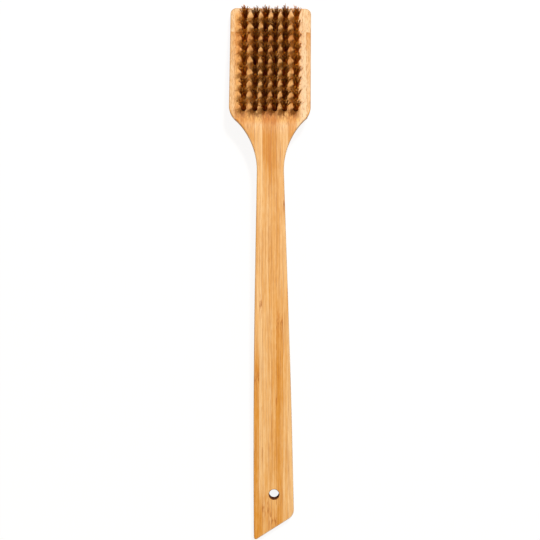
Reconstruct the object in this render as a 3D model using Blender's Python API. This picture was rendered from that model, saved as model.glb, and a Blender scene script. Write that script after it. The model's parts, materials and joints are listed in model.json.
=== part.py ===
"""Long-handled grill brush: an angled body of two laminated bamboo boards, and 54 brass wire tufts.

The body is drawn in the frame of the handle: X across, Y from the handle to the head, Z out of the
front face, with Y = 0 where the tilted head begins. At the end the brush is laid on its back, the way
it rests on a table: head and pointed end touch Z = 0, and the origin is below the middle of its box.
"""

import math
import random

import bmesh
import bpy
from mathutils import Matrix, Vector

# Body, seen from the side (metres)
BODY_THICKNESS = 0.0130
HEAD_TILT = math.radians(13.0)
BEND_RADIUS = 0.060
FRONT_BOARD_DEPTH = 0.0195
GLUE_GAP = 0.0003
ARRIS = 0.0012
ARRIS_STEPS = 2

# Body, seen from the front; the head is measured along its own face
HEAD_WIDTH = 0.0700
HEAD_LENGTH = 0.1090
HEAD_CORNER_RADIUS = 0.0052
SHOULDER_START = 0.0120
SHOULDER_ANGLE = math.radians(47.0)
SHOULDER_RADIUS = 0.0155
NECK_RADIUS = 0.062
HANDLE_LENGTH = 0.3530
LEFT_EDGE_AT_NECK = -0.0103
LEFT_EDGE_AT_BOW = -0.0119
LEFT_EDGE_AT_POINT = -0.0098
RIGHT_EDGE_AT_NECK = 0.0114
RIGHT_EDGE_AT_BOW = 0.0209
BOW_BEHIND_BEND = 0.230
BOW_RADIUS = 9.0
END_WIDTH = 0.0340
END_CUT_ANGLE = math.radians(33.0)
END_CORNER_RADIUS = 0.0090
POINT_RADIUS = 0.0018

# Hanging hole
HOLE_DIAMETER = 0.0085
HOLE_X = 0.0070
HOLE_FROM_POINT = 0.0400

# Tufts, on the face of the head
TUFT_ROWS = 9
TUFT_COLUMNS = 6
ROW_PITCH = 0.0104
COLUMN_PITCH = 0.0085
OUTER_COLUMN_PITCH = 0.0096
TOP_ROW_INSET = 0.0093
TUFT_DIAMETER = 0.0044
TUFT_ROOT_DEPTH = 0.0077
TUFT_CLEARANCE = 0.0003
ANCHOR_LENGTH = 0.0060
ANCHOR_WIDTH = 0.0018
ANCHOR_THICKNESS = 0.0005

# Bristles
BRISTLE_LENGTH = 0.0180
LENGTH_SPREAD = 0.0006
STRANDS = 8
OUTER_TIP_RADIUS = 0.0035
INNER_TIP_RADIUS = 0.0014
TIP_SHARE_OF_ROOT = 0.25
TIP_WANDER = 0.12
BRISTLE_SEED = 7

# Fineness of the faceted shapes
CHORD_ERROR = 0.00005
FLAT_ANGLE = math.radians(0.1)
WELD_DISTANCE = 0.000001
HOLE_SIDES = 24
CUTTER_OVERSHOOT = 0.002
LEVELLING_STEPS = 3


# Scene helpers

def clear_scene():
    for obj in list(bpy.data.objects):
        bpy.data.objects.remove(obj, do_unlink=True)


def new_collection(name):
    collection = bpy.data.collections.new(name)
    bpy.context.scene.collection.children.link(collection)
    return collection


def new_material(name, color, roughness, metallic):
    material = bpy.data.materials.new(name)
    material.use_nodes = True
    shader = material.node_tree.nodes["Principled BSDF"]
    shader.inputs["Base Color"].default_value = (*color, 1.0)
    shader.inputs["Roughness"].default_value = roughness
    shader.inputs["Metallic"].default_value = metallic
    return material


def new_empty(name, collection, parent=None):
    empty = bpy.data.objects.new(name, None)
    empty.parent = parent
    collection.objects.link(empty)
    return empty


def new_object(name, mesh, collection, parent, material=None):
    obj = bpy.data.objects.new(name, mesh)
    obj.parent = parent
    collection.objects.link(obj)
    if material:
        mesh.materials.append(material)
    return obj


def new_cutter(name, mesh, collection, parent):
    cutter = new_object(name, mesh, collection, parent)
    cutter.hide_render = True
    cutter.display_type = "WIRE"
    return cutter


def add_boolean(obj, operation, other):
    modifier = obj.modifiers.new(other.name, "BOOLEAN")
    modifier.operation = operation
    modifier.solver = "EXACT"
    modifier.object = other


def mesh_from_bmesh(name, bm):
    bmesh.ops.recalc_face_normals(bm, faces=bm.faces)
    mesh = bpy.data.meshes.new(name)
    bm.to_mesh(mesh)
    bm.free()
    return mesh


# Outlines

def facets(angle, radius):
    """How many straight facets keep an arc within the chord error."""
    return math.ceil(abs(angle) / (2 * math.acos(1 - min(CHORD_ERROR / radius, 0.5))))


def rounded(corners):
    """Points of a closed outline whose corners (x, y, radius) are rounded by tangent arcs.

    Where two arcs would run past each other on an edge, both shrink until they just fit it.
    """
    places = [Vector((x, y)) for x, y, _ in corners]
    following = places[1:] + places[:1]
    turns = []
    reaches = []
    for i, (_, _, radius) in enumerate(corners):
        turn = -(places[i] - places[i - 1]).angle_signed(following[i] - places[i])
        turns.append(turn)
        reaches.append(radius * math.tan(abs(turn) / 2))
    fits = []
    for i, place in enumerate(places):
        edge = (following[i] - place).length
        fits.append(edge / max(edge, reaches[i] + reaches[(i + 1) % len(places)]))

    points = []
    for i, place in enumerate(places):
        reach = reaches[i] * min(fits[i - 1], fits[i])
        radius = reach / math.tan(abs(turns[i]) / 2)
        arriving = (place - places[i - 1]).normalized()
        inward = Vector((-arriving.y, arriving.x)) * math.copysign(radius, turns[i])
        centre = place - arriving * reach + inward
        steps = facets(turns[i], radius)
        for step in range(steps + 1):
            points.append(centre - Matrix.Rotation(turns[i] * step / steps, 2) @ inward)
    return points


def body_outline():
    """The front view: square head, sloping shoulders, and a handle that flares to the right."""
    half_head = HEAD_WIDTH / 2
    slope = math.tan(SHOULDER_ANGLE)
    left_neck_y = SHOULDER_START - (half_head + LEFT_EDGE_AT_NECK) / slope
    right_neck_y = SHOULDER_START - (half_head - RIGHT_EDGE_AT_NECK) / slope
    end_corner_y = END_WIDTH * math.tan(END_CUT_ANGLE) - HANDLE_LENGTH
    return rounded([
        (half_head, HEAD_LENGTH, HEAD_CORNER_RADIUS),
        (-half_head, HEAD_LENGTH, HEAD_CORNER_RADIUS),
        (-half_head, SHOULDER_START, SHOULDER_RADIUS),
        (LEFT_EDGE_AT_NECK, left_neck_y, NECK_RADIUS),
        (LEFT_EDGE_AT_BOW, -BOW_BEHIND_BEND, BOW_RADIUS),
        (LEFT_EDGE_AT_POINT, -HANDLE_LENGTH, POINT_RADIUS),
        (LEFT_EDGE_AT_POINT + END_WIDTH, end_corner_y, END_CORNER_RADIUS),
        (RIGHT_EDGE_AT_BOW, -BOW_BEHIND_BEND, BOW_RADIUS),
        (RIGHT_EDGE_AT_NECK, right_neck_y, NECK_RADIUS),
        (half_head, SHOULDER_START, SHOULDER_RADIUS),
    ])


# Body

def flat_slab(outline):
    """The outline as a slab with rounded arrises, its front face at Z = 0."""
    curve = bpy.data.curves.new("outline", "CURVE")
    curve.dimensions = "2D"
    curve.fill_mode = "BOTH"
    curve.extrude = BODY_THICKNESS / 2
    spline = curve.splines.new("POLY")
    spline.points.add(len(outline) - 1)
    for spline_point, place in zip(spline.points, outline):
        spline_point.co = (place.x, place.y, 0.0, 1.0)
    spline.use_cyclic_u = True
    drawn = bpy.data.objects.new("outline", curve)
    bpy.context.scene.collection.objects.link(drawn)
    evaluated = drawn.evaluated_get(bpy.context.evaluated_depsgraph_get())
    bm = bmesh.new()
    bm.from_mesh(evaluated.to_mesh())
    bpy.data.objects.remove(drawn, do_unlink=True)

    bmesh.ops.remove_doubles(bm, verts=bm.verts, dist=WELD_DISTANCE)
    bmesh.ops.dissolve_limit(bm, angle_limit=FLAT_ANGLE, verts=bm.verts, edges=bm.edges)
    rims = [edge for edge in bm.edges if edge.verts[0].co.z * edge.verts[1].co.z > 0]
    bmesh.ops.bevel(bm, geom=rims, offset=ARRIS, segments=ARRIS_STEPS, profile=0.5, affect="EDGES")
    bmesh.ops.translate(bm, verts=bm.verts, vec=(0.0, 0.0, -BODY_THICKNESS / 2))
    return bm


def sawn(place, half_bend):
    """Where a point of the flat slab lies on the sawn body, whose head slopes back beyond the bend.

    The two faces follow the slope. The walls are sawn square to the handle, so they stay upright.
    """
    before = min(place.y + half_bend, 0.0)
    beyond = max(place.y - half_bend, 0.0)
    slope = HEAD_TILT * (place.y - before - beyond + half_bend) / (2 * half_bend)
    y = before - half_bend + BEND_RADIUS * math.sin(slope) + beyond * math.cos(slope)
    z = BEND_RADIUS * (math.cos(slope) - 1) - beyond * math.sin(slope) + place.z / math.cos(slope)
    return Vector((place.x, y, z))


def body_blank(cutters, brush):
    """The sawn body in one piece, before it is parted into boards and drilled."""
    bm = flat_slab(body_outline())
    half_bend = BEND_RADIUS * math.tan(HEAD_TILT / 2)
    steps = facets(HEAD_TILT, BEND_RADIUS)
    for step in range(steps + 1):
        fold = (0.0, half_bend * (2 * step / steps - 1), 0.0)
        everything = bm.verts[:] + bm.edges[:] + bm.faces[:]
        bmesh.ops.bisect_plane(bm, geom=everything, plane_co=fold, plane_no=(0.0, 1.0, 0.0))
    for vert in bm.verts:
        vert.co = sawn(vert.co, half_bend)
    bmesh.ops.connect_verts_nonplanar(bm, angle_limit=FLAT_ANGLE, faces=bm.faces)
    return new_cutter("body_blank", mesh_from_bmesh("body_blank", bm), cutters, brush)


def full_depth():
    """A little more than the depth of the lowest edge of the head below the handle's front face."""
    return HEAD_LENGTH * math.sin(HEAD_TILT) + BODY_THICKNESS / math.cos(HEAD_TILT) + CUTTER_OVERSHOOT


def add_board(name, top, bottom, blank, drills, collection, brush, material):
    """One board: the layer between two heights, sawn to the body's shape and drilled."""
    bm = bmesh.new()
    bmesh.ops.create_cube(bm, size=1.0)
    bmesh.ops.scale(bm, verts=bm.verts, vec=(2 * HEAD_WIDTH, 2 * (HEAD_LENGTH + HANDLE_LENGTH), top - bottom))
    bmesh.ops.translate(bm, verts=bm.verts, vec=(0.0, 0.0, (top + bottom) / 2))
    board = new_object(name, mesh_from_bmesh(name, bm), collection, brush, material)
    add_boolean(board, "INTERSECT", blank)
    for drill in drills:
        add_boolean(board, "DIFFERENCE", drill)


def hanging_hole(cutters, brush):
    bm = bmesh.new()
    radius = HOLE_DIAMETER / 2
    length = BODY_THICKNESS + 2 * CUTTER_OVERSHOOT
    bmesh.ops.create_cone(bm, cap_ends=True, segments=HOLE_SIDES, radius1=radius, radius2=radius, depth=length)
    hole = new_cutter("hanging_hole", mesh_from_bmesh("hanging_hole", bm), cutters, brush)
    hole.location = (HOLE_X, HOLE_FROM_POINT - HANDLE_LENGTH, -BODY_THICKNESS / 2)
    return hole


# Tufts

def tuft_places():
    """Row number, column number and place on the head's face of every tuft; row 1 is at the tip."""
    middle = (TUFT_COLUMNS - 1) / 2
    inner_half = (middle - 1) * COLUMN_PITCH
    places = []
    for row in range(TUFT_ROWS):
        for column in range(TUFT_COLUMNS):
            x = (column - middle) * COLUMN_PITCH
            if column in (0, TUFT_COLUMNS - 1):
                x = math.copysign(inner_half + OUTER_COLUMN_PITCH, x)
            y = HEAD_LENGTH - TOP_ROW_INSET - row * ROW_PITCH
            places.append((row + 1, column + 1, Vector((x, y, 0.0))))
    return places


def new_disc(bm, radius, height, in_sectors):
    """A flat disc with one side facing along X, whole or in as many sectors as there are strands."""
    turned = Matrix.Rotation(-math.pi / 2 - math.pi / STRANDS, 4, "Z")
    lifted = Matrix.Translation((0.0, 0.0, height))
    bmesh.ops.create_circle(
        bm, cap_ends=True, cap_tris=in_sectors, segments=STRANDS, radius=radius, matrix=lifted @ turned)


def add_root(bm, clearance):
    """Close a disc downwards into the root of a tuft, with the two ends of its anchor at the foot."""
    foot = TUFT_ROOT_DEPTH + clearance
    rim = [edge for edge in bm.edges if edge.is_boundary]
    for depth in (TUFT_ROOT_DEPTH - ANCHOR_WIDTH - clearance, foot):
        extruded = bmesh.ops.extrude_edge_only(bm, edges=rim)["geom"]
        rim = [item for item in extruded if isinstance(item, bmesh.types.BMEdge)]
        walls = [item for item in extruded if isinstance(item, bmesh.types.BMFace)]
        for vert in {vert for edge in rim for vert in edge.verts}:
            vert.co.z = -depth
    bmesh.ops.holes_fill(bm, edges=rim)
    bmesh.ops.recalc_face_normals(bm, faces=bm.faces)
    sides = [wall for wall in walls if abs(wall.normal.x) > math.cos(math.pi / STRANDS)]
    for end in bmesh.ops.extrude_discrete_faces(bm, faces=sides)["faces"]:
        for vert in end.verts:
            vert.co.x = math.copysign(ANCHOR_LENGTH / 2 + clearance, vert.co.x)
            vert.co.y = math.copysign(ANCHOR_THICKNESS / 2 + clearance, vert.co.y)


def add_strands(bm, rng):
    """Draw every sector of the disc out into a strand that stays over its own sector.

    Every second strand leans out to the edge of the tuft, and those between fill its middle.
    """
    tips = bmesh.ops.extrude_discrete_faces(bm, faces=bm.faces[:])["faces"]
    for number, tip in enumerate(tips):
        root = tip.calc_center_median()
        reach = INNER_TIP_RADIUS if number % 2 else OUTER_TIP_RADIUS
        wander = Matrix.Rotation(rng.uniform(-TIP_WANDER, TIP_WANDER), 3, "Z")
        end = wander @ root.normalized() * reach * rng.uniform(1 - TIP_WANDER, 1.0)
        end.z = BRISTLE_LENGTH + rng.uniform(-LENGTH_SPREAD, LENGTH_SPREAD)
        for vert in tip.verts:
            vert.co = end + (vert.co - root) * TIP_SHARE_OF_ROOT


def add_tuft(name, place, seed, collection, head_face, material):
    bm = bmesh.new()
    new_disc(bm, TUFT_DIAMETER / 2, 0.0, True)
    add_strands(bm, random.Random(seed))
    add_root(bm, 0.0)
    tuft = new_object(name, mesh_from_bmesh(name, bm), collection, head_face, material)
    tuft.location = place


def tuft_drills(places, cutters, head_face):
    """All the drilled holes as one cutter: a tuft's root with clearance, open above the face."""
    bm = bmesh.new()
    new_disc(bm, TUFT_DIAMETER / 2 + TUFT_CLEARANCE, CUTTER_OVERSHOOT, False)
    add_root(bm, TUFT_CLEARANCE)
    drill = mesh_from_bmesh("tuft_drill", bm)
    bm = bmesh.new()
    for place in places:
        first = len(bm.verts)
        bm.from_mesh(drill)
        bm.verts.ensure_lookup_table()
        bmesh.ops.translate(bm, verts=bm.verts[first:], vec=place)
    return new_cutter("tuft_drills", mesh_from_bmesh("tuft_drills", bm), cutters, head_face)


# Rest

def surface_points(collection):
    """Every vertex of the finished pieces, in world space."""
    bpy.context.view_layer.update()
    depsgraph = bpy.context.evaluated_depsgraph_get()
    points = []
    for obj in collection.objects:
        if obj.type == "MESH":
            finished = obj.evaluated_get(depsgraph)
            points += [finished.matrix_world @ vert.co for vert in finished.data.vertices]
    return points


def lay_down(brush, collection):
    """Raise the handle until its end just stays on the level of the head, and set it on the origin."""
    points = surface_points(collection)
    for _ in range(LEVELLING_STEPS):
        head = min((point for point in points if point.y > 0), key=lambda point: point.z)
        tilt = min(math.atan2(point.z - head.z, head.y - point.y) for point in points if point.y < 0)
        brush.rotation_euler.x += tilt
        points = [Matrix.Rotation(tilt, 3, "X") @ point for point in points]
    low, high = (Vector([pick(axis) for axis in zip(*points)]) for pick in (min, max))
    brush.location = (-(low.x + high.x) / 2, -(low.y + high.y) / 2, -low.z)


clear_scene()
parts = new_collection("Grill Brush")
cutters = new_collection("Cutters")
honey_bamboo = new_material("honey_bamboo", (0.76, 0.43, 0.14), 0.45, 0.0)
pale_bamboo = new_material("pale_bamboo", (0.87, 0.57, 0.26), 0.5, 0.0)
brass = new_material("brass", (0.42, 0.26, 0.07), 0.35, 1.0)

brush = new_empty("brush", parts)
head_face = new_empty("head_face", parts, brush)
head_face.rotation_euler.x = -HEAD_TILT
tufts = tuft_places()

blank = body_blank(cutters, brush)
hanging = hanging_hole(cutters, brush)
drills = tuft_drills([place for _, _, place in tufts], cutters, head_face)
glue_top = GLUE_GAP / 2 - FRONT_BOARD_DEPTH
add_board("front_board", CUTTER_OVERSHOOT, glue_top, blank, [hanging, drills], parts, brush, honey_bamboo)
add_board("back_board", glue_top - GLUE_GAP, -full_depth(), blank, [drills], parts, brush, pale_bamboo)
for number, (row, column, place) in enumerate(tufts):
    add_tuft(f"tuft_r{row}_c{column}", place, BRISTLE_SEED + number, parts, head_face, brass)

lay_down(brush, parts)
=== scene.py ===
"""A long-handled grill brush: the looks of its bamboo body and brass bristles, placed by its CAD model."""

import json
import math
import random

import bmesh
import bpy
from mathutils import Matrix, Vector
from mathutils.geometry import intersect_plane_plane


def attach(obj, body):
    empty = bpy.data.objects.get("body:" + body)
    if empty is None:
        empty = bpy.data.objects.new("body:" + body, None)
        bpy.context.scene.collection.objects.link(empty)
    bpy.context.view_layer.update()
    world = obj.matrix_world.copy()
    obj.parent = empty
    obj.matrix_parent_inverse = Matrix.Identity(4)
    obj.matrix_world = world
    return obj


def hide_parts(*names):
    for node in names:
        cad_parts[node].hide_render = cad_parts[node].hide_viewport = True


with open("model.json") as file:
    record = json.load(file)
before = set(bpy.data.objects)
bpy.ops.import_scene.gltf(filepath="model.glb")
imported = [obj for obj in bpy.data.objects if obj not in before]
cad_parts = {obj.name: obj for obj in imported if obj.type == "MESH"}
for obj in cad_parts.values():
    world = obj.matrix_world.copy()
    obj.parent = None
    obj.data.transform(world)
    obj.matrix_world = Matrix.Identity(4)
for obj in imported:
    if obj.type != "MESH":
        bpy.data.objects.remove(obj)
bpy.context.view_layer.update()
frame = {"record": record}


# How the brush lies
# The body is a flat board with a tilted head, and it rests on its back. The two flat backs and the hanging
# hole are mounts in the record, and give the board's thickness and the line where its two fronts meet.

mounts = {mount["name"]: mount for mount in frame["record"]["mounts"]}
BODY_THICKNESS = mounts["hanging_hole"]["dims"]["length_mm"] / 1000
fronts = []
for name in ("grip_back_face", "head_back_face"):
    outward = -Vector(mounts[name]["axis"])
    fronts.append((Vector(mounts[name]["pos_m"]) + outward * BODY_THICKNESS, outward))
(handle_place, handle_normal), (head_place, head_normal) = fronts
bend_line, _ = intersect_plane_plane(handle_place, handle_normal, head_place, head_normal)
bend_line.x = 0.0
handle_slope = math.atan2(-handle_normal.y, handle_normal.z)
HEAD_TILT = handle_slope - math.atan2(-head_normal.y, head_normal.z)

# X across, Y from the handle to the head, Z out of the front; Y and Z are 0 on the bend line.
brush = Matrix.Translation(bend_line) @ Matrix.Rotation(handle_slope, 4, "X")
head_face = brush @ Matrix.Rotation(-HEAD_TILT, 4, "X")


# Bamboo, laminated and sanded
# Strips sawn from the culm wall stand side by side, each with a tone of its own and its fibres along the
# handle, which show as streaks. The wood was sanded and lightly oiled, which gives it a satin sheen.

HEAD_WIDTH = 0.0700
HANDLE_LENGTH = 0.3530
LAMINATE_SKEW = math.radians(0.588)
FIBRE_RELIEF = 0.0001

# Millimetres from here on, with patterns measured across, along and into the wood. A real bundle of fibres
# is some 0.4 mm across, too fine to show in the picture, so fibres and bundles are drawn at twice that.
BLANK_MARGIN = 1.5
GLUE_LINE = 0.28
RAGGED_EDGE = 2.4
FIBRE = (0.8, 36.0, 0.8)
BUNDLE = (0.8, 70.0, 0.8)
STREAK = (1.3, 90.0, 1.3)
MOTTLE = (1.3, 6.5, 1.3)
CLOUD = (9.0, 45.0, 9.0)
PATTERN_SHIFT = 997.0
TONE_SWAY = 14.0
TONE_FADE = 16.0
CULM_NODE_LENGTH = 6.5
CULM_NODE_REACH = 15.0
FEATHER_EDGE = 84.5
FEATHER_LENGTH = 24.0

# The wood among the tufts, still in millimetres; each pair is where an effect starts and where it is full
GRID_MIDDLE = -2.0
GRID_SIDE = (30.0, 26.0)
GRID_HEEL = (0.0, 7.0)
GRID_TIP = (106.0, 98.0)
RUBBED_HEEL = (8.0, 22.0)
# Where the painted shade and brass dust under the last row are strongest, and how far they reach
SHADE_AND_DUST_MIDDLE = 12.0
SHADE_AND_DUST_REACH = (8.0, 2.0)

# The tone that rubbing brings all the strips towards, and how far
RUBBED_TONE = 0.44
RUBBED_SHARE = 0.65


def srgb(code):
    """Linear RGBA of an sRGB hex colour."""
    channels = [int(code[i:i + 2], 16) / 255 for i in (1, 3, 5)]
    return (*[c / 12.92 if c <= 0.04045 else ((c + 0.055) / 1.055) ** 2.4 for c in channels], 1.0)


def add_node(tree, kind, inputs, **settings):
    """Add a shader node, set its properties, and link or set its inputs. Returns its outputs. A socket goes
    by its name, or by its number where several share a name."""
    made = tree.nodes.new("ShaderNode" + kind)
    for name, value in settings.items():
        setattr(made, name, value)
    for socket, value in inputs.items():
        if isinstance(value, bpy.types.NodeSocket):
            tree.links.new(value, made.inputs[socket])
        else:
            made.inputs[socket].default_value = value
    return made.outputs


def laminated_bamboo(name, feather_tone, strips):
    """Each strip is its left edge in mm from the middle, its tone at the head and at the point, from 0 for
    pale to 1 for deep, and, as shares of the handle's length below the bend, where its tone changes and
    where it has a culm node. The feather tone is how much deeper the board looks where the sloping face
    thins it out to nothing at the glue line."""
    material = bpy.data.materials.new(name)
    material.use_nodes = True
    tree = material.node_tree
    shader = tree.nodes["Principled BSDF"]

    # Millimetres along the strips, which don't run quite straight up the brush
    spot = add_node(tree, "TexCoord", {})["Object"]
    place = add_node(tree, "Mapping", {
        "Vector": spot, "Location": bend_line, "Rotation": (handle_slope, 0, LAMINATE_SKEW),
        "Scale": (0.001, 0.001, 0.001),
    }, vector_type="TEXTURE")[0]
    x, y, _ = add_node(tree, "SeparateXYZ", {0: place})

    # Fibres of neighbouring strips stray a little across the line between them
    spread = add_node(tree, "Mapping", {"Vector": place, "Scale": [1 / length for length in FIBRE]})[0]
    ragged = add_node(tree, "TexNoise", {"Vector": spread, "Scale": 1.0, "Detail": 1.0})[0]
    ragged = add_node(tree, "Math", {0: ragged, 1: -0.5}, operation="ADD")[0]
    strayed = add_node(tree, "Math", {0: ragged, 1: RAGGED_EDGE, 2: x}, operation="MULTIPLY_ADD")[0]

    # The strip at this place, and the strip a glue line's width further left
    half_blank = HEAD_WIDTH * 1000 / 2 + BLANK_MARGIN
    seen = []
    for left in (0.0, GLUE_LINE):
        across = add_node(tree, "MapRange", {
            "Value": strayed, "From Min": left - half_blank, "From Max": left + half_blank})[0]
        ramp = tree.nodes.new("ShaderNodeValToRGB")
        tree.links.new(across, ramp.inputs[0])
        stops = ramp.color_ramp.elements
        ramp.color_ramp.interpolation = "CONSTANT"
        stops[1].position = 1.0
        for edge, *looks in strips:
            position = (edge + half_blank) / (2 * half_blank)
            stop = stops.new(position) if position > 0 else stops[0]
            stop.color = looks
        stops[len(stops) - 1].color = looks
        seen.append(ramp.outputs)
    head_tone, point_tone, change_share = add_node(tree, "SeparateColor", {0: seen[0][0]})
    node_share = seen[0][1]
    change = add_node(tree, "VectorMath", {0: seen[0][0], 1: seen[1][0]}, operation="DISTANCE")[1]
    glue = add_node(tree, "Math", {0: change, 1: 0.001}, operation="GREATER_THAN")[0]

    # How far a place is in among the tufts
    beside = add_node(tree, "Math", {0: x, 1: GRID_MIDDLE}, operation="SUBTRACT")[0]
    beside = add_node(tree, "Math", {0: beside}, operation="ABSOLUTE")[0]
    among = 1.0
    for measure, (outside, inside) in ((beside, GRID_SIDE), (y, GRID_HEEL), (y, GRID_TIP)):
        within = add_node(tree, "MapRange", {
            "Value": measure, "From Min": outside, "From Max": inside}, interpolation_type="SMOOTHSTEP")[0]
        among = add_node(tree, "Math", {0: among, 1: within}, operation="MULTIPLY")[0]

    # Each strip has a fibre pattern of its own
    shift = add_node(tree, "Math", {0: change_share, 1: PATTERN_SHIFT}, operation="MULTIPLY")[0]
    shift = add_node(tree, "CombineXYZ", {0: shift, 1: shift, 2: shift})[0]
    own = add_node(tree, "VectorMath", {0: place, 1: shift}, operation="ADD")[0]
    noises = []
    for size, detail in ((STREAK, 2.0), (FIBRE, 3.0), (MOTTLE, 2.0), (CLOUD, 1.0)):
        spread = add_node(tree, "Mapping", {"Vector": own, "Scale": [1 / length for length in size]})[0]
        noises.append(add_node(tree, "TexNoise", {"Vector": spread, "Scale": 1.0, "Detail": detail})[0])
    streaks, fibres, mottle, cloud = noises
    spread = add_node(tree, "Mapping", {"Vector": own, "Scale": [1 / length for length in BUNDLE]})[0]
    nearest = add_node(tree, "TexVoronoi", {"Vector": spread, "Scale": 1.0, "Randomness": 0.9})["Distance"]
    bundles = add_node(tree, "MapRange", {
        "Value": nearest, "From Min": 0.34, "From Max": 0.12}, interpolation_type="SMOOTHSTEP")[0]

    # The tone changes once along a strip, is evened out where the tufts rub, and deepens at the feather edge
    sway = add_node(tree, "Math", {0: streaks, 1: TONE_SWAY, 2: -TONE_SWAY / 2}, operation="MULTIPLY_ADD")[0]
    swayed = add_node(tree, "Math", {0: y, 1: sway}, operation="ADD")[0]
    from_change, from_node = [
        add_node(tree, "Math", {0: share, 1: HANDLE_LENGTH * 1000, 2: swayed}, operation="MULTIPLY_ADD")[0]
        for share in (change_share, node_share)]
    headwards = add_node(tree, "MapRange", {
        "Value": from_change, "From Min": -TONE_FADE, "From Max": TONE_FADE,
    }, interpolation_type="SMOOTHSTEP")[0]
    tone = add_node(tree, "Mix", {0: headwards, 2: point_tone, 3: head_tone})[0]
    rubbed = add_node(tree, "MapRange", {
        "Value": y, "From Min": RUBBED_HEEL[0], "From Max": RUBBED_HEEL[1], "To Max": RUBBED_SHARE,
    }, interpolation_type="SMOOTHSTEP")[0]
    rubbed = add_node(tree, "Math", {0: rubbed, 1: among}, operation="MULTIPLY")[0]
    tone = add_node(tree, "Mix", {0: rubbed, 2: tone, 3: RUBBED_TONE})[0]
    feather = add_node(tree, "MapRange", {
        "Value": y, "From Min": FEATHER_EDGE - FEATHER_LENGTH, "From Max": FEATHER_EDGE,
        "To Max": feather_tone})[0]
    tone = add_node(tree, "Math", {0: tone, 1: feather}, operation="ADD")[0]
    for noise, share in ((streaks, 0.95), (cloud, 0.60), (mottle, 0.55)):
        uneven = add_node(tree, "Math", {0: noise, 1: -0.5}, operation="ADD")[0]
        tone = add_node(tree, "Math", {0: uneven, 1: share, 2: tone}, operation="MULTIPLY_ADD")[0]
    tints = tree.nodes.new("ShaderNodeValToRGB")
    tree.links.new(tone, tints.inputs[0])
    tints.color_ramp.elements[0].color = srgb("#F5CC8F")
    tints.color_ramp.elements[1].color = srgb("#CC8016")
    tints.color_ramp.elements.new(0.4).color = srgb("#E8B063")
    tints.color_ramp.elements.new(0.8).color = srgb("#D89226")
    colour = tints.outputs[0]

    # How squarely the surface cuts the fibres: 0 on the handle, 0.22 on the head's face, 1 on the ends. Cuts
    # that slant are paler, most of all in pale strips, partly from the cut fibres and partly as painted
    # light on the head's face, which tips towards the lamp; square ones are browner.
    facing = add_node(tree, "NewGeometry", {})["Normal"]
    along = brush.to_3x3() @ Vector((0.0, 1.0, 0.0))
    cut = add_node(tree, "VectorMath", {0: facing, 1: along}, operation="DOT_PRODUCT")[1]
    cut = add_node(tree, "Math", {0: cut}, operation="ABSOLUTE")[0]
    slant = add_node(tree, "MapRange", {"Value": cut, "From Min": 0.10, "From Max": 0.21})[0]
    square = add_node(tree, "MapRange", {"Value": cut, "From Min": 0.5, "From Max": 0.9})[0]
    paler_and_lit = add_node(tree, "MapRange", {"Value": tone, "From Max": 0.8, "To Min": 0.66, "To Max": 0.14})[0]
    paler_and_lit = add_node(tree, "Math", {0: slant, 1: paler_and_lit}, operation="MULTIPLY")[0]
    browner = add_node(tree, "Math", {0: square, 1: 0.55}, operation="MULTIPLY")[0]

    # Dark fibres, and bundles that stand out more in deep strips
    dark_fibre = add_node(tree, "MapRange", {
        "Value": fibres, "From Min": 0.48, "From Max": 0.70, "To Max": 0.48})[0]
    darkness = add_node(tree, "MapRange", {"Value": tone, "To Min": 0.12, "To Max": 0.46})[0]
    dark_bundle = add_node(tree, "Math", {0: bundles, 1: darkness}, operation="MULTIPLY")[0]

    # A culm node is an amber patch with brown scars in its middle
    distance = add_node(tree, "Math", {0: from_node}, operation="ABSOLUTE")[0]
    knotty = []
    for reach, least, most, share in (
            (CULM_NODE_REACH, 0.40, 0.60, 0.60),
            (CULM_NODE_LENGTH, 0.48, 0.66, 0.78)):
        near_node = add_node(tree, "MapRange", {
            "Value": distance, "From Min": reach, "From Max": 0.0, "To Max": share,
        }, interpolation_type="SMOOTHSTEP")[0]
        blotches = add_node(tree, "MapRange", {"Value": mottle, "From Min": least, "From Max": most})[0]
        knotty.append(add_node(tree, "Math", {0: near_node, 1: blotches}, operation="MULTIPLY")[0])
    patch, scars = knotty

    # Rounded edges and side walls are painted browner, as painted shade for faces that turn away from the
    # light, and there glue lines fade, as they would cross at a low angle
    level = add_node(tree, "VectorMath", {0: facing, 1: handle_normal}, operation="DOT_PRODUCT")[1]
    level = add_node(tree, "Math", {0: level}, operation="ABSOLUTE")[0]
    painted_edge_shade = add_node(tree, "MapRange", {
        "Value": level, "From Min": 0.88, "From Max": 0.35, "To Max": 0.46,
    }, interpolation_type="SMOOTHSTEP")[0]
    sideways = add_node(tree, "SeparateXYZ", {0: facing})[0]
    sideways = add_node(tree, "Math", {0: sideways}, operation="ABSOLUTE")[0]
    crossed = add_node(tree, "MapRange", {
        "Value": sideways, "From Min": 0.95, "From Max": 0.7, "To Max": 0.45})[0]
    glued = add_node(tree, "Math", {0: glue, 1: crossed}, operation="MULTIPLY")[0]

    # Painted shade with brass dust: the wood at the heel of the grid, under the last row of tufts, is darker
    # in mottled spots
    dust_and_shade = add_node(tree, "Math", {0: y, 1: SHADE_AND_DUST_MIDDLE}, operation="SUBTRACT")[0]
    dust_and_shade = add_node(tree, "Math", {0: dust_and_shade}, operation="ABSOLUTE")[0]
    dust_and_shade = add_node(tree, "MapRange", {
        "Value": dust_and_shade, "From Min": SHADE_AND_DUST_REACH[0], "From Max": SHADE_AND_DUST_REACH[1],
    }, interpolation_type="SMOOTHSTEP")[0]
    dust_and_shade = add_node(tree, "Math", {0: dust_and_shade, 1: among}, operation="MULTIPLY")[0]
    spots = add_node(tree, "MapRange", {
        "Value": mottle, "From Min": 0.38, "From Max": 0.58, "To Max": 0.58})[0]
    dust_and_shade = add_node(tree, "Math", {0: spots, 1: dust_and_shade}, operation="MULTIPLY")[0]
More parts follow.
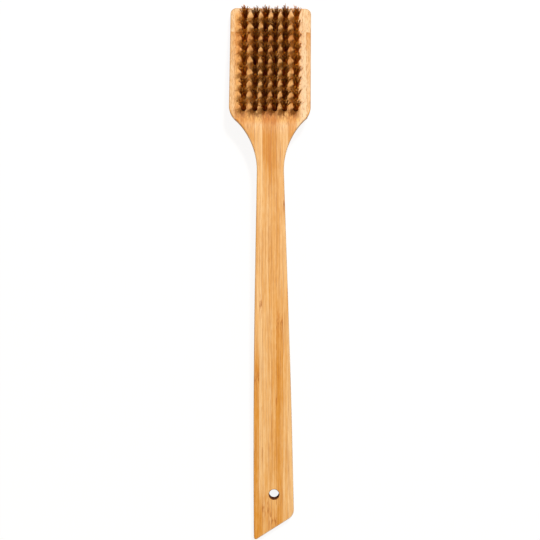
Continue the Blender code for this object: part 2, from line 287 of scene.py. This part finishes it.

    # Each layer, a stain, a painted shade or a painted light, lies over the ones before it. Among the tufts
    # the wood's colour is multiplied by a warmer tint, which is painted warm shade for the light that wires
    # and wood throw on each other.
    for share, layer_colour, blend in (
            (paler_and_lit, "#FBE2BA", "MIX"),
            (browner, "#B87838", "MIX"),
            (dark_fibre, "#B9793A", "MIX"),
            (dark_bundle, "#9C5F2A", "MIX"),
            (patch, "#CB7B20", "MIX"),
            (scars, "#94500F", "MIX"),
            (painted_edge_shade, "#90602F", "MIX"),
            (glued, "#A9642C", "MIX"),
            (among, "#FFE5AC", "MULTIPLY"),
            (dust_and_shade, "#A06028", "MIX")):
        colour = add_node(tree, "Mix", {
            0: share, 6: colour, 7: srgb(layer_colour)}, data_type="RGBA", blend_type=blend)[2]
    tree.links.new(colour, shader.inputs["Base Color"])

    # Satin, rougher on cuts across the fibres, with the fibres just standing out of the sanded face
    roughness = add_node(tree, "Math", {0: fibres, 1: 0.22, 2: 0.36}, operation="MULTIPLY_ADD")[0]
    roughness = add_node(tree, "Math", {0: slant, 1: 0.12, 2: roughness}, operation="MULTIPLY_ADD")[0]
    tree.links.new(roughness, shader.inputs["Roughness"])
    height = add_node(tree, "Math", {0: bundles, 1: -0.5, 2: fibres}, operation="MULTIPLY_ADD")[0]
    bump = add_node(tree, "Bump", {"Strength": 0.35, "Distance": FIBRE_RELIEF, "Height": height})[0]
    tree.links.new(bump, shader.inputs["Normal"])
    shader.inputs["IOR"].default_value = 1.45
    return material


# The strips as they lie in the board, from the left edge of the head to the right: their edge, their tones
# at the head and at the point, and the shares for the tone's change and the culm node
front_bamboo = laminated_bamboo("front_board_laminated_bamboo", feather_tone=0.36, strips=(
    (-36.5, 0.37, 0.40, 0.31, 0.31),
    (-30.2, 0.43, 0.40, 0.62, 0.62),
    (-24.8, 0.53, 0.32, 0.37, 0.37),
    (-19.2, 0.48, 0.32, 0.53, 0.53),
    (-13.2, 0.16, 0.64, 0.555, 0.603),
    (-9.2, 0.10, 0.72, 0.905, 0.43),
    (-6.4, 0.84, 0.26, 0.085, 0.92),
    (-0.9, 0.90, 0.32, 0.11, 0.945),
    (1.3, 0.74, 0.42, 0.12, 0.955),
    (5.5, 0.42, 0.76, 0.47, 0.47),
    (8.8, 0.26, 0.60, 0.475, 0.475),
    (11.4, 0.18, 0.20, 0.187, 0.187),
    (15.6, 0.60, 0.04, 0.10, 0.99),
    (22.4, 0.04, 0.16, 0.56, 0.56),
    (27.4, 0.00, 0.16, 0.69, 0.69),
    (31.4, 0.40, 0.40, 0.47, 0.47),
))
back_bamboo = laminated_bamboo("back_board_laminated_bamboo", feather_tone=0.0, strips=(
    (-36.5, 0.32, 0.24, 0.21, 0.21),
    (-31.8, 0.19, 0.24, 0.43, 0.43),
    (-26.4, 0.37, 0.24, 0.36, 0.36),
    (-21.0, 0.18, 0.24, 0.57, 0.57),
    (-15.2, 0.08, 0.24, 0.15, 0.15),
    (-10.4, 0.30, 0.24, 0.49, 0.49),
    (-4.8, 0.13, 0.24, 0.27, 0.27),
    (0.6, 0.22, 0.24, 0.62, 0.62),
    (6.2, 0.06, 0.24, 0.33, 0.33),
    (11.4, 0.24, 0.24, 0.18, 0.18),
    (17.0, 0.11, 0.24, 0.53, 0.53),
    (22.2, 0.05, 0.24, 0.39, 0.39),
    (27.8, 0.10, 0.24, 0.24, 0.24),
    (33.0, 0.27, 0.24, 0.46, 0.46),
))

# The walls of the drilled holes are dark brown and dull, in patches of some 0.7 mm: partly a drill's scorch
# and partly painted shade in the deep recess of each hole
WALL_PATCHES_PER_METRE = 1400.0
drilled_walls = bpy.data.materials.new("drilled_bamboo_scorch_and_shade")
drilled_walls.use_nodes = True
tree = drilled_walls.node_tree
shader = tree.nodes["Principled BSDF"]
spot = add_node(tree, "TexCoord", {})["Object"]
wall_patches = add_node(tree, "TexNoise", {"Vector": spot, "Scale": WALL_PATCHES_PER_METRE, "Detail": 2.0})[0]
wall_patches = add_node(tree, "MapRange", {"Value": wall_patches, "From Min": 0.35, "From Max": 0.65})[0]
colour = add_node(tree, "Mix", {0: wall_patches, 6: srgb("#5A2A0A"), 7: srgb("#8E4E1A")}, data_type="RGBA")[2]
tree.links.new(colour, shader.inputs["Base Color"])
shader.inputs["Roughness"].default_value = 0.9
shader.inputs["Specular IOR Level"].default_value = 0.2


# The two boards of the body
# A long front board makes the handle and most of the head, and a short one glued behind it makes the head's
# lower part. Both were sawn to one outline after gluing, then rounded along their arrises and drilled.

HEAD_LENGTH = 0.1090
HEAD_CORNER_RADIUS = 0.0052
SHOULDER_START = 0.0120
SHOULDER_ANGLE = math.radians(47.0)
SHOULDER_RADIUS = 0.0155
NECK_RADIUS = 0.062
LEFT_EDGE_AT_NECK = -0.0103
LEFT_EDGE_AT_BOW = -0.0119
LEFT_EDGE_AT_POINT = -0.0098
RIGHT_EDGE_AT_NECK = 0.0114
RIGHT_EDGE_AT_BOW = 0.0209
BOW_BEHIND_BEND = 0.230
BOW_RADIUS = 9.0
END_WIDTH = 0.0340
END_CUT_ANGLE = math.radians(33.0)
END_CORNER_RADIUS = 0.0090
POINT_RADIUS = 0.0018
CHORD_ERROR = 0.00001
ARRIS = 0.0012
ARRIS_STEPS = 4
BEND_RADIUS = 0.060
BEND_STEPS = 9
FRONT_BOARD_DEPTH = 0.0195
HOLE_FLARE = 0.0004
HOLE_SIDES = 64
OVERSHOOT = 0.002
SMOOTH_ANGLE = math.radians(40.0)
IN_GLUE_PLANE = 0.00001

TUFT_ROWS = 9
TUFT_COLUMNS = 6
ROW_PITCH = 0.0104
COLUMN_PITCH = 0.0085
OUTER_COLUMN_PITCH = 0.0096
TOP_ROW_INSET = 0.0093
TUFT_ROOT_DEPTH = 0.0077
DRILL_RADIUS = 0.0023
DRILL_SIDES = 32


def rounded(corners):
    """Points of a closed outline whose corners (x, y, radius) are rounded by tangent arcs."""
    points = []
    for i, (x, y, radius) in enumerate(corners):
        corner = Vector((x, y))
        arriving = (corner - Vector(corners[i - 1][:2])).normalized()
        leaving = (Vector(corners[(i + 1) % len(corners)][:2]) - corner).normalized()
        turn = -arriving.angle_signed(leaving)
        inward = Vector((-arriving.y, arriving.x)) * math.copysign(radius, turn)
        centre = corner - arriving * radius * math.tan(abs(turn) / 2) + inward
        steps = math.ceil(abs(turn) / (2 * math.acos(1 - CHORD_ERROR / radius)))
        for step in range(steps + 1):
            points.append(centre - Matrix.Rotation(turn * step / steps, 2) @ inward)
    return points


def pick(kind, wanted):
    """In edit mode, select just the edges or faces for which wanted is true."""
    mesh = bpy.context.object.data
    bpy.ops.mesh.select_all(action="DESELECT")
    bpy.ops.mesh.select_mode(type=kind)
    bm = bmesh.from_edit_mesh(mesh)
    for item in {"EDGE": bm.edges, "FACE": bm.faces}[kind]:
        if wanted(item):
            item.select_set(True)
    bmesh.update_edit_mesh(mesh)


def extrude(way):
    """In edit mode, extrude what is selected and move it."""
    bpy.ops.mesh.extrude_region_move(TRANSFORM_OT_translate={"value": way})


half_head = HEAD_WIDTH / 2
slope = math.tan(SHOULDER_ANGLE)
left_neck_y = SHOULDER_START - (half_head + LEFT_EDGE_AT_NECK) / slope
right_neck_y = SHOULDER_START - (half_head - RIGHT_EDGE_AT_NECK) / slope
end_corner_y = END_WIDTH * math.tan(END_CUT_ANGLE) - HANDLE_LENGTH
outline = rounded([
    (half_head, HEAD_LENGTH, HEAD_CORNER_RADIUS),
    (-half_head, HEAD_LENGTH, HEAD_CORNER_RADIUS),
    (-half_head, SHOULDER_START, SHOULDER_RADIUS),
    (LEFT_EDGE_AT_NECK, left_neck_y, NECK_RADIUS),
    (LEFT_EDGE_AT_BOW, -BOW_BEHIND_BEND, BOW_RADIUS),
    (LEFT_EDGE_AT_POINT, -HANDLE_LENGTH, POINT_RADIUS),
    (LEFT_EDGE_AT_POINT + END_WIDTH, end_corner_y, END_CORNER_RADIUS),
    (RIGHT_EDGE_AT_BOW, -BOW_BEHIND_BEND, BOW_RADIUS),
    (RIGHT_EDGE_AT_NECK, right_neck_y, NECK_RADIUS),
    (half_head, SHOULDER_START, SHOULDER_RADIUS),
])

# A flat slab with rounded arrises
bpy.ops.object.select_all(action="DESELECT")
bpy.ops.mesh.primitive_circle_add(vertices=len(outline), fill_type="NGON")
blank = bpy.context.object
for vert, point in zip(blank.data.vertices, outline):
    vert.co = (point.x, point.y, 0.0)
bpy.ops.object.mode_set(mode="EDIT")
bpy.ops.mesh.select_all(action="SELECT")
extrude((0.0, 0.0, -BODY_THICKNESS))
bpy.ops.mesh.select_all(action="SELECT")
bpy.ops.mesh.normals_make_consistent(inside=False)
pick("EDGE", lambda edge: abs(edge.verts[0].co.z - edge.verts[1].co.z) < BODY_THICKNESS / 2)
bpy.ops.mesh.bevel(offset=ARRIS, segments=ARRIS_STEPS, profile=0.5, affect="EDGES")

# The faces slope back beyond a gentle bend, and the walls stay square to the handle
half_bend = BEND_RADIUS * math.tan(HEAD_TILT / 2)
for step in range(BEND_STEPS + 1):
    bpy.ops.mesh.select_all(action="SELECT")
    fold = half_bend * (2 * step / BEND_STEPS - 1)
    bpy.ops.mesh.bisect(plane_co=(0.0, fold, 0.0), plane_no=(0.0, 1.0, 0.0))
bpy.ops.object.mode_set(mode="OBJECT")
for vert in blank.data.vertices:
    before = min(vert.co.y + half_bend, 0.0)
    beyond = max(vert.co.y - half_bend, 0.0)
    turn = HEAD_TILT * (vert.co.y - before - beyond + half_bend) / (2 * half_bend)
    vert.co.y = before - half_bend + BEND_RADIUS * math.sin(turn) + beyond * math.cos(turn)
    vert.co.z = BEND_RADIUS * (math.cos(turn) - 1) - beyond * math.sin(turn) + vert.co.z / math.cos(turn)
blank.data.transform(brush)

# The hanging hole's cutter, which eases the hole's rims too
hole = mounts["hanging_hole"]
hole_radius = hole["dims"]["r_mm"] / 1000
bpy.ops.object.select_all(action="DESELECT")
bpy.ops.mesh.primitive_cylinder_add(
    vertices=HOLE_SIDES, radius=hole_radius, depth=BODY_THICKNESS - 2 * HOLE_FLARE)
drills = bpy.context.object
bpy.ops.object.mode_set(mode="EDIT")
for way in (1, -1):
    pick("FACE", lambda face: face.normal.z * way > 0.9)
    extrude((0.0, 0.0, way * HOLE_FLARE))
    wider = 1 + HOLE_FLARE / hole_radius
    bpy.ops.transform.resize(value=(wider, wider, 1.0), center_override=(0.0, 0.0, 0.0))
    extrude((0.0, 0.0, way * OVERSHOOT))
bpy.ops.object.mode_set(mode="OBJECT")
drills.data.transform(Matrix.Translation(hole["pos_m"]) @ Matrix.Rotation(handle_slope, 4, "X"))

# A drilled hole under every tuft, square to the head's face; row 1 is at the tip
middle = (TUFT_COLUMNS - 1) / 2
tuft_places = {}
for row in range(TUFT_ROWS):
    for column in range(TUFT_COLUMNS):
        x = (column - middle) * COLUMN_PITCH
        if column in (0, TUFT_COLUMNS - 1):
            x = math.copysign((middle - 1) * COLUMN_PITCH + OUTER_COLUMN_PITCH, x)
        place = Matrix.Translation((x, HEAD_LENGTH - TOP_ROW_INSET - row * ROW_PITCH, 0.0))
        tuft_places[f"tuft_r{row + 1}_c{column + 1}"] = head_face @ place
for place in tuft_places.values():
    bpy.ops.mesh.primitive_cylinder_add(
        vertices=DRILL_SIDES, radius=DRILL_RADIUS, depth=TUFT_ROOT_DEPTH + OVERSHOOT)
    drill = bpy.context.object
    drill.data.transform(place @ Matrix.Translation((0.0, 0.0, (OVERSHOOT - TUFT_ROOT_DEPTH) / 2)))
    bpy.ops.object.select_all(action="DESELECT")
    drill.select_set(True)
    drills.select_set(True)
    bpy.context.view_layer.objects.active = drills
    bpy.ops.object.join()
drills.data.materials.append(drilled_walls)

# The boards part at the glue line, and each is drilled
glue_place = brush @ Vector((0.0, 0.0, -FRONT_BOARD_DEPTH))
for node, bamboo in (("front_board", front_bamboo), ("back_board", back_bamboo)):
    board = bpy.data.objects.new(node + "_bamboo", blank.data.copy())
    bpy.context.scene.collection.objects.link(board)
    board.data.materials.append(bamboo)
    bpy.ops.object.select_all(action="DESELECT")
    board.select_set(True)
    bpy.context.view_layer.objects.active = board
    bpy.ops.object.mode_set(mode="EDIT")
    bpy.ops.mesh.select_all(action="SELECT")
    is_front = node == "front_board"
    bpy.ops.mesh.bisect(
        plane_co=glue_place, plane_no=handle_normal, use_fill=True,
        clear_inner=is_front, clear_outer=not is_front)
    bpy.ops.object.mode_set(mode="OBJECT")
    drilling = board.modifiers.new("drilling", "BOOLEAN")
    drilling.operation = "DIFFERENCE"
    drilling.object = drills
    drilling.material_mode = "TRANSFER"
    bpy.ops.object.modifier_apply(modifier=drilling.name)
    bpy.ops.object.shade_smooth_by_angle(angle=SMOOTH_ANGLE)
    for face in board.data.polygons:
        off_glue_plane = abs((face.center - glue_place).dot(handle_normal))
        if off_glue_plane < IN_GLUE_PLANE and abs(face.normal.dot(handle_normal)) > 0.9999:
            face.use_smooth = False
    board.modifiers.new("even_shading", "WEIGHTED_NORMAL").keep_sharp = True
    bpy.ops.object.modifier_apply(modifier="even_shading")
    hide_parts(node)
    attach(board, "root")
bpy.data.objects.remove(blank)
bpy.data.objects.remove(drills)


# Brass wire, drawn and crimped
# Hard-drawn round wire with a crimp rolled into it, which keeps a bundle springy and open. It is brass gone
# brown in store: a metal with a soft, broken gleam, some wires much browner and duller than others.

GLEAM_SIZE = 0.0004

brass = bpy.data.materials.new("crimped_brass_wire")
brass.use_nodes = True
tree = brass.node_tree
shader = tree.nodes["Principled BSDF"]
spot = add_node(tree, "TexCoord", {})["Object"]
gleam = add_node(tree, "TexNoise", {"Vector": spot, "Scale": 1 / GLEAM_SIZE, "Detail": 1.0})[0]
# The tarnish attribute holds each wire's own tarnish, with painted shade added in each tuft's core and foot
# and painted light in the outer columns
tarnish_shade_and_light = add_node(tree, "Attribute", {}, attribute_name="tarnish_shade_and_light")["Fac"]
dullness = add_node(tree, "MapRange", {"Value": tarnish_shade_and_light, "To Min": 0.26, "To Max": 0.42})[0]
dullness = add_node(tree, "Math", {0: gleam, 1: 0.16, 2: dullness}, operation="MULTIPLY_ADD")[0]
tree.links.new(dullness, shader.inputs["Roughness"])
colour = add_node(tree, "Mix", {0: tarnish_shade_and_light, 6: srgb("#EE9E36"), 7: srgb("#5C1A08")}, data_type="RGBA")[2]
tree.links.new(colour, shader.inputs["Base Color"])
shader.inputs["Metallic"].default_value = 1.0
shader.inputs["Specular Tint"].default_value = srgb("#8A4C1C")


# The tufts
# Each is some sixty wires, folded round a flat anchor at the foot of its drilled hole and cut to one height.
# The wires leave the hole in a tight round bundle and fan out, and here and there one strays.

BRISTLE_LENGTH = 0.0180
DOME_HEIGHT = 0.0012
LENGTH_SPREAD = 0.0005

# Three-sided wires look thinner than round ones, so they are drawn thicker than the real 0.3 mm, and more of
# them than the real sixty
WIRES = 90
WIRE_SIDES = 3
WIRE_DIAMETER = 0.00036
LOCKS = 13
WIRE_STEPS = 14
CRIMP = 0.00022
ROOT_RADIUS = 0.0019
FAN_WIDTH = 0.0106
FAN_DEPTH = 0.0090
FAN_POWER = 1.5
FAN_JITTER = 0.0005
FAN_CURVE = 1.9
TANGLE = 0.55
LEAN = 0.0006
STRAY_SHARE = 0.06
STRAY_REACH = 0.0026
ANCHOR_HEIGHT = 0.0018
GOLDEN_ANGLE = math.pi * (3 - math.sqrt(5))
WIRE_SEED = 11

# Wires are browner in a tuft's core and at its foot, which is painted shade, and brighter in the first and
# the last column, which is painted light
CORE_PAINTED_SHADE = 0.5
FOOT_PAINTED_SHADE = 0.5
OUTER_PAINTED_LIGHT = {"c1": 0.22, "c6": 0.36}


def spread_evenly(count):
    """Points spread evenly over a disc of radius 1, from its middle outwards."""
    points = []
    for number in range(count):
        out = Vector((math.sqrt((number + 0.5) / count), 0.0, 0.0))
        points.append(Matrix.Rotation(number * GOLDEN_ANGLE, 3, "Z") @ out)
    return points


bpy.ops.object.select_all(action="DESELECT")
wire_foot = TUFT_ROOT_DEPTH - ANCHOR_HEIGHT
wire_step = (BRISTLE_LENGTH + wire_foot) / WIRE_STEPS
bpy.ops.mesh.primitive_circle_add(
    vertices=WIRE_SIDES, radius=WIRE_DIAMETER / 2, fill_type="NGON", location=(-CRIMP, 0.0, -wire_foot))
bpy.ops.object.transform_apply(location=True)
wire = bpy.context.object
bpy.ops.object.mode_set(mode="EDIT")
bpy.ops.mesh.select_all(action="SELECT")
for step in range(WIRE_STEPS):
    extrude((2 * CRIMP if step % 2 == 0 else -2 * CRIMP, 0.0, wire_step))
bpy.ops.mesh.select_all(action="SELECT")
bpy.ops.mesh.normals_make_consistent(inside=False)
bpy.ops.object.mode_set(mode="OBJECT")

rng = random.Random(WIRE_SEED)
for node, place in tuft_places.items():
    bm = bmesh.new()
    tarnish_shade_and_light_layer = bm.verts.layers.float.new("tarnish_shade_and_light")
    turn = Matrix.Rotation(rng.uniform(0, 2 * math.pi), 3, "Z")
    lean = Vector((rng.uniform(-1, 1), rng.uniform(-1, 1), 0.0)) * LEAN
    locks = [(turn @ spot, rng.uniform(-1, 1), rng.random()) for spot in spread_evenly(LOCKS)]
    outer_painted_light = OUTER_PAINTED_LIGHT.get(node[-2:], 0.0)
    for spot in spread_evenly(WIRES):
        first = len(bm.verts)
        bm.from_mesh(wire.data)
        lock, lock_length, lock_brown = min(locks, key=lambda lock: (lock[0] - spot).length)
        root = spot * ROOT_RADIUS
        tip = spot.lerp(lock, TANGLE)
        tip *= tip.length ** (FAN_POWER - 1)
        reach = Vector((tip.x * FAN_WIDTH, tip.y * FAN_DEPTH, 0.0)) / 2 - root + lean
        reach += Vector((rng.uniform(-1, 1), rng.uniform(-1, 1), 0.0)) * FAN_JITTER
        if rng.random() < STRAY_SHARE:
            reach += spot * STRAY_REACH * rng.uniform(0.5, 1.0)
        spin = Matrix.Rotation(rng.uniform(0, 2 * math.pi), 3, "Z")
        length = BRISTLE_LENGTH - DOME_HEIGHT * spot.length_squared
        length += (lock_length + rng.uniform(-1, 1)) / 2 * LENGTH_SPREAD
        # Each wire's own tarnish, lightened by painted light in the outer columns and browned by painted
        # shade in the core and, below, at the foot
        brown = (lock_brown + rng.random()) / 2 - outer_painted_light + CORE_PAINTED_SHADE * (0.5 - spot.length_squared)
        bm.verts.ensure_lookup_table()
        for vert in bm.verts[first:]:
            out = max(vert.co.z, 0.0) / BRISTLE_LENGTH
            vert.co = root + spin @ vert.co + reach * out ** FAN_CURVE
            if out:
                vert.co.z = out * length
            vert[tarnish_shade_and_light_layer] = min(1.0, max(0.0, brown + FOOT_PAINTED_SHADE * (1 - out)))
    mesh = bpy.data.meshes.new(node + "_wires")
    bm.to_mesh(mesh)
    bm.free()
    mesh.transform(place)
    mesh.shade_smooth()
    mesh.materials.append(brass)
    tuft = bpy.data.objects.new(node + "_wires", mesh)
    bpy.context.scene.collection.objects.link(tuft)
    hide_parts(node)
    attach(tuft, "root")
bpy.data.objects.remove(wire)


# Floor, light and camera
# A pale sheet of paper under soft studio light, with a large lamp high on the right, as the shadows of the
# bristles fall to the left. The camera looks straight down on the handle from just over a metre.

FLOOR_SIZE = 6.0
FLOOR_OWN_WHITE = 0.91
CAMERA_DISTANCE = 1.106
CAMERA_ANGLE = math.radians(23.5)
CAMERA_ROLL = math.radians(0.588)
AIM = Vector((0.0016, -0.1218, 0.0))
FILL_STRENGTH = 0.45
LAMP_PLACE = Vector((0.52, 1.11, 2.78))
LAMP_SIZE = 0.36
LAMP_POWER = 62.0


def plain_backdrop_rays(tree):
    """1 for the rays of the camera, of metal and of glass, which see the backdrop plain white."""
    rays = add_node(tree, "LightPath", {})
    seen = rays["Is Camera Ray"]
    for ray in ("Is Glossy Ray", "Is Transmission Ray"):
        seen = add_node(tree, "Math", {0: seen, 1: rays[ray]}, operation="MAXIMUM")[0]
    return seen


bpy.ops.object.select_all(action="DESELECT")
bpy.ops.mesh.primitive_plane_add(size=FLOOR_SIZE)
floor = bpy.context.object
floor.name = "floor"
paper = bpy.data.materials.new("pale_paper")
paper.use_nodes = True
tree = paper.node_tree
shader = tree.nodes["Principled BSDF"]
seen = plain_backdrop_rays(tree)
own_white = add_node(tree, "Math", {0: seen, 1: FLOOR_OWN_WHITE}, operation="MULTIPLY")[0]
shaded = add_node(tree, "Mix", {0: seen, 6: srgb("#E6E4E0"), 7: srgb("#5C5C5C")}, data_type="RGBA")[2]
tree.links.new(shaded, shader.inputs["Base Color"])
tree.links.new(own_white, shader.inputs["Emission Strength"])
shader.inputs["Emission Color"].default_value = srgb("#FFFFFF")
shader.inputs["Roughness"].default_value = 0.9
shader.inputs["Specular IOR Level"].default_value = 0.0
floor.data.materials.append(paper)

world = bpy.data.worlds.new("studio")
bpy.context.scene.world = world
world.use_nodes = True
tree = world.node_tree
seen = plain_backdrop_rays(tree)
strength = add_node(tree, "Mix", {0: seen, 2: FILL_STRENGTH, 3: 1.0})[0]
background = tree.nodes["Background"]
warmth = add_node(tree, "Mix", {0: seen, 6: srgb("#FFE3C4"), 7: srgb("#FFFFFF")}, data_type="RGBA")[2]
tree.links.new(warmth, background.inputs["Color"])
tree.links.new(strength, background.inputs["Strength"])

lamp = bpy.data.objects.new("key_lamp", bpy.data.lights.new("key_lamp", "AREA"))
lamp.data.shape = "DISK"
lamp.data.size = LAMP_SIZE
lamp.data.energy = LAMP_POWER
lamp.location = LAMP_PLACE
lamp.rotation_euler = (-LAMP_PLACE).to_track_quat("-Z", "Y").to_euler()
bpy.context.scene.collection.objects.link(lamp)

camera = bpy.data.objects.new("camera", bpy.data.cameras.new("camera"))
camera.data.angle = CAMERA_ANGLE
upward = brush.to_3x3() @ Vector((-math.sin(CAMERA_ROLL), math.cos(CAMERA_ROLL), 0.0))
facing = Matrix((upward.cross(handle_normal), upward, handle_normal)).transposed()
camera.matrix_world = Matrix.Translation(brush @ AIM + handle_normal * CAMERA_DISTANCE) @ facing.to_4x4()
bpy.context.scene.collection.objects.link(camera)
bpy.context.scene.camera = camera
bpy.context.scene.view_settings.view_transform = "Standard"
